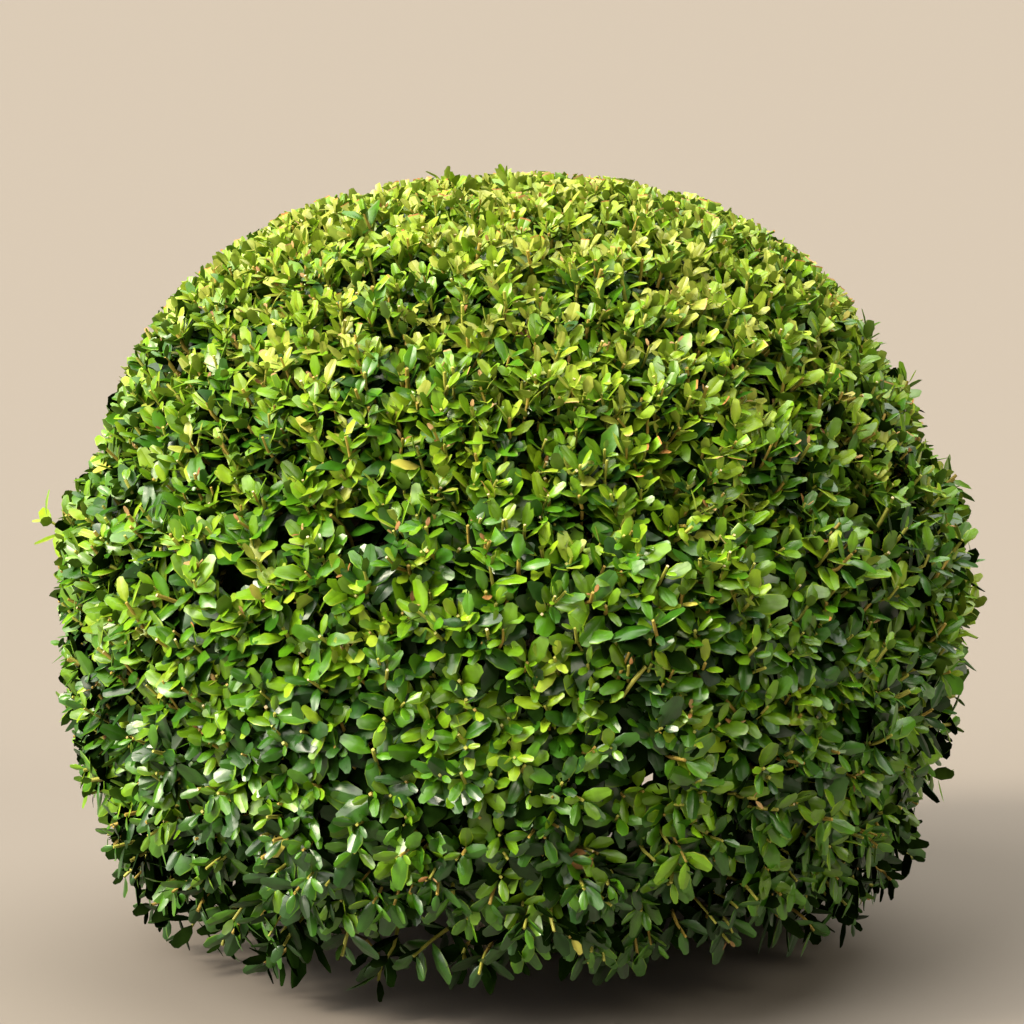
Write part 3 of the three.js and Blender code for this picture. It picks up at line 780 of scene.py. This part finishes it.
# triangles of one leaf: point 0 is its root, then the rows, then a point under the midrib for each row but
# the last. The two sheets share the rim
def leafFaces(rowCount, across):
    upper, lower = [], []

    def at(row, place):
        return 1 + row * across + place

    def under(row):
        return 1 + rowCount * across + row

    lastPlace = across - 1
    for place in range(lastPlace):
        upper.append((0, at(0, place + 1), at(0, place)))
    for row in range(rowCount - 1):
        for place in range(lastPlace):
            upper.append((at(row, place), at(row, place + 1), at(row + 1, place + 1)))
            upper.append((at(row, place), at(row + 1, place + 1), at(row + 1, place)))
    lower += [(0, at(0, 0), under(0)), (0, under(0), at(0, lastPlace))]
    for row in range(rowCount - 2):
        lower += [(under(row), at(row, 0), at(row + 1, 0)), (under(row), at(row + 1, 0), under(row + 1)),
                  (under(row), under(row + 1), at(row + 1, lastPlace)),
                  (under(row), at(row + 1, lastPlace), at(row, lastPlace))]
    last = rowCount - 1
    tip = [at(last - 1, 0)] + [at(last, place) for place in range(across)] + [at(last - 1, lastPlace)]
    lower += [(under(last - 1), a, b) for a, b in zip(tip, tip[1:])]
    isLower = np.array([False] * len(upper) + [True] * len(lower))
    isTip = np.array([min(face) >= at(last - 1, 0) for face in upper] + [False] * len(lower))
    nearRim = (0, 1, lastPlace - 1, lastPlace)
    rimPoints = {0} | {at(row, place) for row in range(rowCount) for place in nearRim}
    isRim = np.array([across > 3 and set(face) <= rimPoints for face in upper] + [False] * len(lower))
    return np.array(upper + lower), isLower, isTip, isRim


# marks the points that lie on a crease: along the rim, and along the midrib, which only a fine leaf shows
rimCrease, midribCrease = 1, 2


def leafCreases(rowCount, across):
    marks = np.zeros(1 + rowCount * across + rowCount - 1, int)
    rows = marks[1:1 + rowCount * across].reshape(rowCount, across)
    rows[:, 0] = rows[:, -1] = rimCrease
    rows[-1] = rimCrease
    if across > 3:
        rows[:, across // 2] |= midribCrease
    marks[0] = rimCrease | midribCrease
    return marks


def leafMesh(chosen, kind):
    part = {key: value[chosen] for key, value in leaves.items()}
    cut = part["cut"][:, None, None]
    isCut = cut < leaf["wholeFrom"]
    whole, square = np.array(leafRows[kind]["whole"]), np.array(leafRows[kind]["cut"])
    rowCount, across = whole.shape
    shares = np.where(isCut, square * cut, whole)
    widthShares = np.interp(shares[:, :, 0], leafOutline["along"], leafOutline["halfWidth"])
    halfWidths = widthShares[..., None] * part["width"][:, None, None]
    spread = np.array((1, leaf["rimFrom"], 0, -leaf["rimFrom"], -1) if across == 5 else (1, 0, -1))
    outerShares = np.abs(spread)
    bulge = leaf["crest"] * 4 * outerShares * (1 - outerShares)    # crest high half way to the rim
    x = shares * part["length"][:, None, None]
    y = halfWidths * spread
    z = halfWidths * (part["cup"][:, None, None] * outerShares + bulge)
    z = z - part["droop"][:, None, None] * leaf["droopDepth"] * x * x / part["length"][:, None, None]
    breadth = np.cross(part["face"], part["run"])
    rows = part["root"][:, None, None].copy()
    for amount, axis in ((x, part["run"]), (y, breadth), (z, part["face"])):
        rows = rows + amount[..., None] * axis[:, None, None]
    under = rows[:, :-1, across // 2] - leaf["thickness"] * part["face"][:, None]
    points = np.concatenate((part["root"][:, None], rows.reshape(len(rows), -1, 3), under), axis=1)
    faces, isLower, isTip, isRim = leafFaces(rowCount, across)
    allFaces = faces[None] + np.arange(len(points))[:, None, None] * points.shape[1]
    underside = len(leafShades) + np.array(undersideOf)[np.minimum(part["shade"], len(leafShades))]
    paint = np.where(isLower[None], underside[:, None], part["shade"][:, None])
    rimmed = part["rimmed"] & (part["shade"] > 1) & (part["shade"] < len(leafShades))
    rimShade = np.minimum(part["shade"] + leaf["rimShades"], len(leafShades) - 1)
    paint = np.where(rimmed[:, None] & isRim[None], rimShade[:, None], paint)
    paint = np.where((part["rim"][:, None] >= 0) & isTip[None], part["rim"][:, None], paint)
    creases = np.tile(leafCreases(rowCount, across), len(points))
    return points.reshape(-1, 3), allFaces.reshape(-1, 3), paint.reshape(-1), creases


# Tubes: many limbs of a few sides in one mesh, from rows of places and radii, shaded round with flat ends
nearlyUp = up + np.array((0.013, 0.007, 0))    # so that an upright limb has a level side too
twig = {
    "branchSides": 5,
    "branchRings": 6,
    "branchUpTo": 0.9,         # the last of a branch is left to its shoots
    "shootSides": 4,
    "shootRings": (0, 0.3, 0.58, 0.8, 1.0),
    "shootTaper": (1.2, 1.1, 1.0, 0.9, 0.8),
    "stoutSpread": 0.15,
    "stoutRange": (0.7, 1.5),
    "ripeTips": 0.4,           # share of the shoots that are ripe up to their tip
    "paleEnds": 0.5,           # share of the cut shoots whose cut shows
    "stemSides": 7,
    "stemRings": (0, 0.5, 1),
    "stemTaper": (1.0, 0.85, 0.6),
    "stemGap": 0.0003,         # between a bough's end and its mass's stem
}


def tubes(places, radii, sides, paint, endPaint):
    count, rings = radii.shape
    runs = unit(np.gradient(places, axis=1))
    level = unit(np.cross(nearlyUp, runs))
    other = np.cross(runs, level)
    turns = (np.arange(sides) * 2 * math.pi / sides)[:, None]
    outward = level[:, :, None] * np.cos(turns) + other[:, :, None] * np.sin(turns)
    points = (places[:, :, None] + radii[:, :, None, None] * outward).reshape(count, rings * sides, 3)
    faces, ringOf = [], []
    for ring in range(rings - 1):
        for side in range(sides):
            a, b = ring * sides + side, ring * sides + (side + 1) % sides
            faces += [(a, b, b + sides), (a, b + sides, a + sides)]
            ringOf += [ring, ring]
    end = (rings - 1) * sides
    for side in range(1, sides - 1):
        faces += [(0, side + 1, side), (end, end + side, end + side + 1)]
        ringOf += [0, rings - 1]
    allFaces = np.array(faces)[None] + np.arange(count)[:, None, None] * points.shape[1]
    facePaint = np.concatenate((paint, endPaint[:, None]), axis=1)[:, ringOf]
    creases = np.zeros((rings, sides), int)
    creases[0], creases[-1] = 1, 2    # both ends are creased all round
    creases = np.tile(creases.ravel(), count)
    return points.reshape(-1, 3), allFaces.reshape(-1, 3), facePaint.reshape(-1), creases


def branchTubes(mass):
    part = {key: value[branches["mass"] == mass][:, None] for key, value in branches.items()}
    count, rings = len(part["root"]), twig["branchRings"]
    shares = np.linspace(0, twig["branchUpTo"], rings)[None, :, None]
    places = onBend(part["root"], part["bend"], part["end"], shares)
    radii = np.repeat(np.linspace(*growth["branchRadii"], rings)[None], count, axis=0)
    paint = np.full((count, rings - 1), barkWood)
    return tubes(places, radii, twig["branchSides"], paint, np.full(count, barkWood))


def shootTubes(mass):
    part = {key: value[shoots["mass"] == mass][:, None] for key, value in shoots.items()}
    count, shares = len(part["root"]), np.array(twig["shootRings"])[None, :, None]
    places = onBend(part["root"], part["bend"], part["end"], shares)
    stoutness = chance.normal(1, twig["stoutSpread"], (count, 1)).clip(*twig["stoutRange"])
    radii = stoutness * np.array(twig["shootTaper"]) * growth["shootRadius"]
    tipWood = np.where(chance.random(count) < twig["ripeTips"], ripeWood, youngWood)
    paint = np.stack((np.full(count, barkWood), np.full(count, ripeWood), tipWood, tipWood), axis=1)
    isPale = part["wasCut"][:, 0] & (chance.random(count) < twig["paleEnds"])
    return tubes(places, radii, twig["shootSides"], paint, np.where(isPale, paleEnd, tipWood))


def stemTube(mass):
    start = centre + massAxes[mass] * (hollowRadius - wood["boughEndInset"] + twig["stemGap"])
    places = np.stack([mix(start, hearts[mass], share) for share in twig["stemRings"]])[None]
    radius = wood["leaderTip"] if mass == 0 else wood["boughTip"]
    paint = np.full((1, len(twig["stemRings"]) - 1), barkWood)
    return tubes(places, np.array([twig["stemTaper"]]) * radius, twig["stemSides"], paint, paint[:, 0])


def joinArrays(parts):
    starts = np.cumsum([0] + [len(part[0]) for part in parts])
    faces = np.concatenate([part[1] + start for part, start in zip(parts, starts)])
    points, paint, creases = (np.concatenate([part[i] for part in parts]) for i in (0, 2, 3))
    return points, faces, paint, creases


# one joined mesh from arrays, smooth but for the edges whose two ends share a crease
def meshPiece(name, arrays, materials):
    points, faces, paint, creases = arrays
    deselectAll()
    mesh = bpy.data.meshes.new(name)
    mesh.from_pydata(points, [], faces)
    for material in materials:
        mesh.materials.append(material)
    mesh.polygons.foreach_set("material_index", paint.astype(np.int32))
    ends = np.empty(2 * len(mesh.edges), np.int32)
    mesh.edges.foreach_get("vertices", ends)
    sharp = (creases[ends[0::2]] & creases[ends[1::2]]) > 0
    piece = bpy.data.objects.new(name, mesh)
    bpy.context.scene.collection.objects.link(piece)
    bpy.context.view_layer.objects.active = piece
    piece.select_set(True)
    bpy.ops.object.shade_smooth()
    mesh.attributes.new("sharp_edge", "BOOLEAN", "EDGE").data.foreach_set("value", sharp)
    return piece


branches = growBranches()
shoots = growShoots()
leaves = shearLeaves(growLeaves())
print("branches", len(branches["way"]), "shoots", len(shoots["way"]), "leaves", len(leaves["cut"]))

for mass, massName in enumerate(massNames):
    node = f"foliage_{massName}"
    inMass = leaves["mass"] == mass
    leafParts = [leafMesh(inMass & (leaves["kind"] == kind), kind) for kind in leafRows]
    leafPiece = meshPiece(f"leaves_{massName}", joinArrays(leafParts), leafMaterials)
    dress(leafPiece, [node])
    twigParts = [stemTube(mass), branchTubes(mass), shootTubes(mass)]
    twigPiece = meshPiece(f"twigs_{massName}", joinArrays(twigParts), twigMaterials)
    dress(twigPiece, [node])
    print(massName, "leaf faces", len(leafPiece.data.polygons), "twig faces", len(twigPiece.data.polygons))

# Studio: a pale floor that runs out of the frame, and soft warm light that comes mostly from the left
studio = {
    "cameraDistance": 2.5,
    "cameraHeight": 10,        # degrees above the level
    "aimHeight": 0.252,
    "frameWidth": 0.575,       # what the frame takes in at the ball's middle, in metres
    "floorWidth": 60,
    "floorHeight": -0.0004,    # just under the trunk's cut
    "floorColour": "#827a72",
    "lightDistance": 3,
    "worldColour": "#ddd4b8",
    "worldStrength": 0.12,
}
# each light's azimuth, elevation, softness in degrees, strength and colour: the warm key and a broad softbox
# high on the left, a low light along the left side, a weak fill on the right, and one from above
lights = {
    "keyLight": (-158, 36, 14, 3.5, "#fff2da"),
    "softbox": (-146, 44, 56, 4.0, "#fffaf0"),
    "sideLight": (-168, 6, 60, 2.2, "#fffaf0"),
    "fillLight": (-45, 38, 24, 0.9, "#fff6e0"),
    "topLight": (60, 76, 60, 3.7, "#f4f2ea"),
}


def makeFloor():
    deselectAll()
    bpy.ops.mesh.primitive_plane_add(size=studio["floorWidth"], location=(0, 0, studio["floorHeight"]))
    floor = bpy.context.object
    floor.name = "floor"
    floor.data.materials.append(plainMaterial("paleFloor", studio["floorColour"], 0.9))


def makeLight(name, azimuth, elevation, softness, strength, colour):
    deselectAll()
    way = Vector(directionAt(azimuth, elevation))
    bpy.ops.object.light_add(type="SUN", location=way * studio["lightDistance"])
    light = bpy.context.object
    light.name = name
    light.data.angle = math.radians(softness)
    light.data.energy = strength
    light.data.color = fromHex(colour)[:3]
    light.rotation_euler = (-way).to_track_quat("-Z", "Y").to_euler()


makeFloor()
for lightName, settings in lights.items():
    makeLight(lightName, *settings)
world = bpy.data.worlds.new("paleWorld")
world.use_nodes = True
background = world.node_tree.nodes["Background"]
background.inputs["Color"].default_value = fromHex(studio["worldColour"])
background.inputs["Strength"].default_value = studio["worldStrength"]
bpy.context.scene.world = world
bpy.context.scene.view_settings.view_transform = "Standard"

aim = Vector((0, 0, studio["aimHeight"]))
tilt = math.radians(studio["cameraHeight"])
fromAim = Vector((0, -math.cos(tilt), math.sin(tilt))) * studio["cameraDistance"]
bpy.ops.object.camera_add(location=aim + fromAim)
camera = bpy.context.object
camera.name = "camera"
camera.rotation_euler = (aim - camera.location).to_track_quat("-Z", "Y").to_euler()
camera.data.angle = 2 * math.atan(studio["frameWidth"] / 2 / studio["cameraDistance"])
bpy.context.scene.camera = camera
print("studio made")
